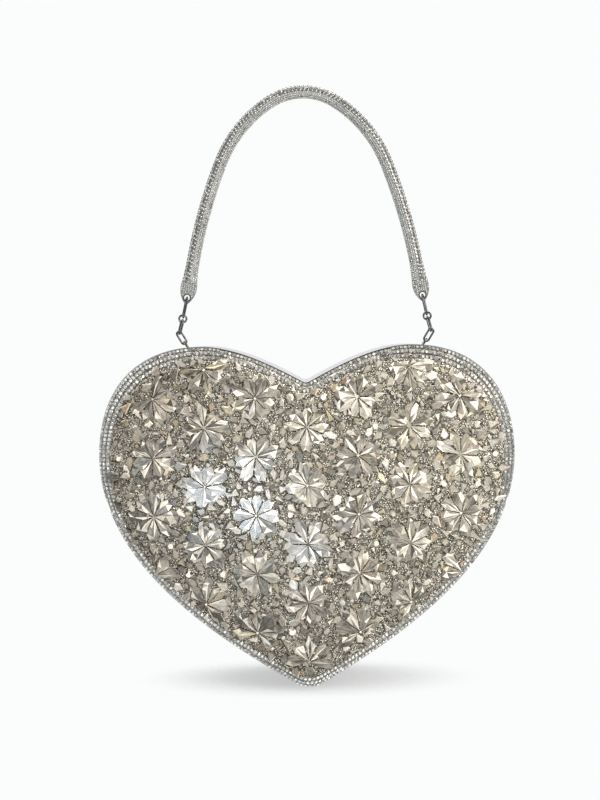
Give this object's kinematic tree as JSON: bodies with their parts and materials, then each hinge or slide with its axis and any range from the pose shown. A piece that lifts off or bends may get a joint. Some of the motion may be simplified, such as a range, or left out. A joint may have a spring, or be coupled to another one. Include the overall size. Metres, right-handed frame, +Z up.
{
  "type": "heart shaped purse",
  "caption": "Heart-shaped hard evening purse with a flower-crystal front, a rhinestone border, a magnetic hinged lid and an arched rhinestone handle hung on wire links.",
  "frame": {"origin": "underside of the handle's crown, where a hand or a hook carries the purse", "axes": "+Z up, +X to the right seen from the front, the crystal front faces -Y"},
  "size_m": [0.207, 0.0651, 0.3067],
  "materials": {
    "polished_frame": "polished silver plate",
    "silver_wire": "polished silver plate",
    "stone_base": "silver foil under the stones",
    "silver_leather": "silver metallic grain",
    "satin_lining": "satin",
    "cup_chain": "rhinestones in silver cups",
    "flower_crystal": "foil-backed cut crystal",
    "accent_crystal": "foil-backed cut crystal",
    "rhinestone_mesh": "fine rhinestone mesh",
    "cord_core": "matt cord",
    "magnet": "nickel plated"
  },
  "bodies": {
    "handle": {"handle_sleeve": "rhinestone_mesh", "handle_core": "cord_core", "left_strap_tab": "rhinestone_mesh", "right_strap_tab": "rhinestone_mesh", "left_eyelet": "silver_wire", "right_eyelet": "silver_wire"},
    "upper_links": {"left_upper_link": "silver_wire", "right_upper_link": "silver_wire"},
    "rings": {"left_ring": "silver_wire", "right_ring": "silver_wire"},
    "lower_links": {"left_lower_link": "silver_wire", "right_lower_link": "silver_wire"},
    "bails": {"left_bail": "silver_wire", "right_bail": "silver_wire"},
    "case_back": {"back_frame": "polished_frame", "back_panel": "silver_leather", "back_lining": "satin_lining", "back_magnet": "magnet", "left_lug": "silver_wire", "right_lug": "silver_wire", "back_hinge_leaf": "polished_frame", "hinge_pin": "polished_frame"},
    "lid_front": {"front_frame": "polished_frame", "front_panel": "stone_base", "front_lining": "satin_lining", "front_magnet": "magnet", "front_hinge_leaf": "polished_frame", "border_band": "cup_chain", "flower_crystals": "flower_crystal", "flower_centres": "accent_crystal", "accent_stones": "accent_crystal"}
  },
  "joints": [
    {"name": "upper_links_swing", "type": "hinge", "parent": "handle", "child": "upper_links", "pos_m": [0, 0, -0.10449], "axis": [1, 0, 0], "range_deg": [-20, 20]},
    {"name": "rings_swing", "type": "hinge", "parent": "upper_links", "child": "rings", "pos_m": [0, 0, -0.11209], "axis": [1, 0, 0], "range_deg": [-20, 20]},
    {"name": "lower_links_swing", "type": "hinge", "parent": "rings", "child": "lower_links", "pos_m": [0, 0, -0.11457], "axis": [1, 0, 0], "range_deg": [-20, 20]},
    {"name": "bails_swing", "type": "hinge", "parent": "lower_links", "child": "bails", "pos_m": [0, 0, -0.12051], "axis": [1, 0, 0], "range_deg": [-15, 15]},
    {"name": "case_swing", "type": "hinge", "parent": "bails", "child": "case_back", "pos_m": [0, 0, -0.12624], "axis": [1, 0, 0], "range_deg": [-20, 20]},
    {"name": "lid_open", "type": "hinge", "parent": "case_back", "child": "lid_front", "pos_m": [0, 0, -0.29868], "axis": [1, 0, 0], "range_deg": [0, 80]}
  ]
}
